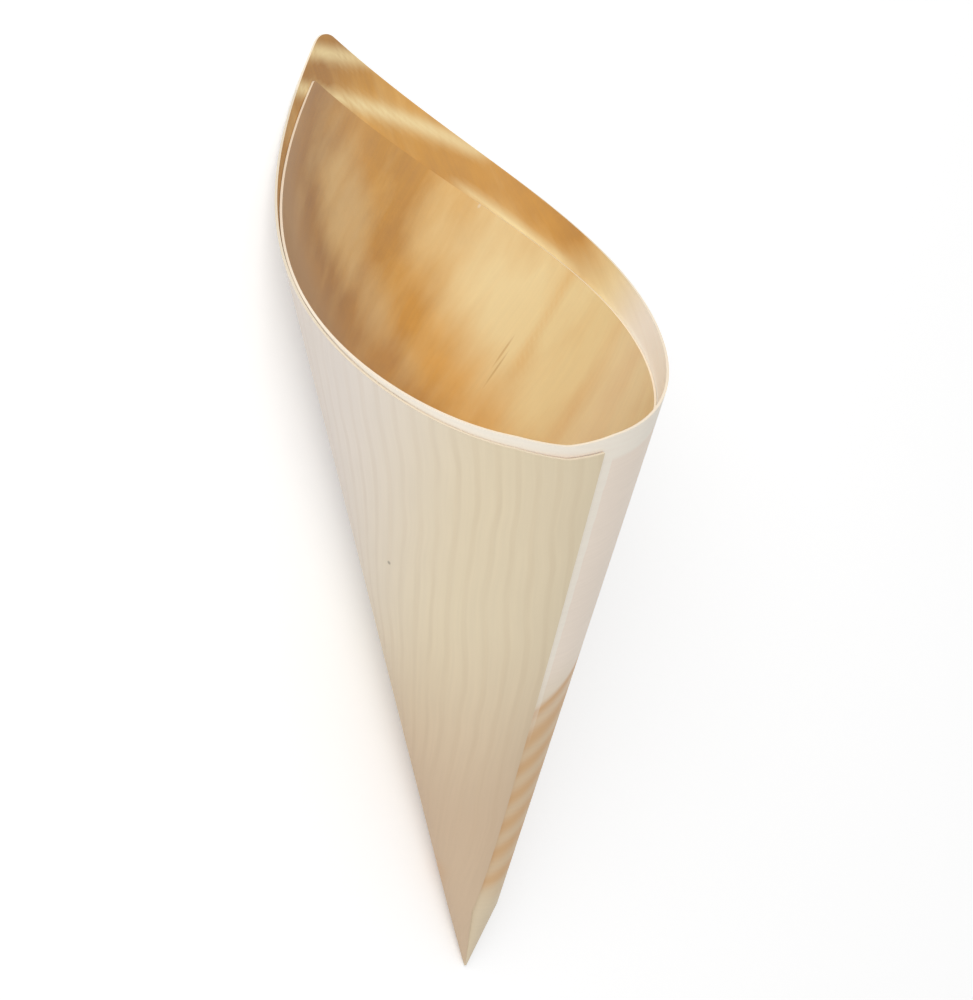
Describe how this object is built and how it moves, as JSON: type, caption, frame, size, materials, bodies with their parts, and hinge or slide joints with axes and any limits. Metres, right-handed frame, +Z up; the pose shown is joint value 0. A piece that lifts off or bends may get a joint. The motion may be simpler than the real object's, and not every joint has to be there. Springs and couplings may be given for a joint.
{
  "type": "food cone",
  "caption": "Pointed serving cone rolled from one thin wood veneer sheet, with a slanted open mouth and two peaks.",
  "frame": {"origin": "middle of the bounding box on the floor the cone lies on", "axes": "+X from the pointed tip towards the mouth and the peaks, +Z up from the floor"},
  "size_m": [0.187, 0.0704, 0.0672],
  "materials": {
    "veneer": "bare sanded veneer"
  },
  "bodies": {
    "root": {"veneer_cone": "veneer"}
  },
  "joints": []
}
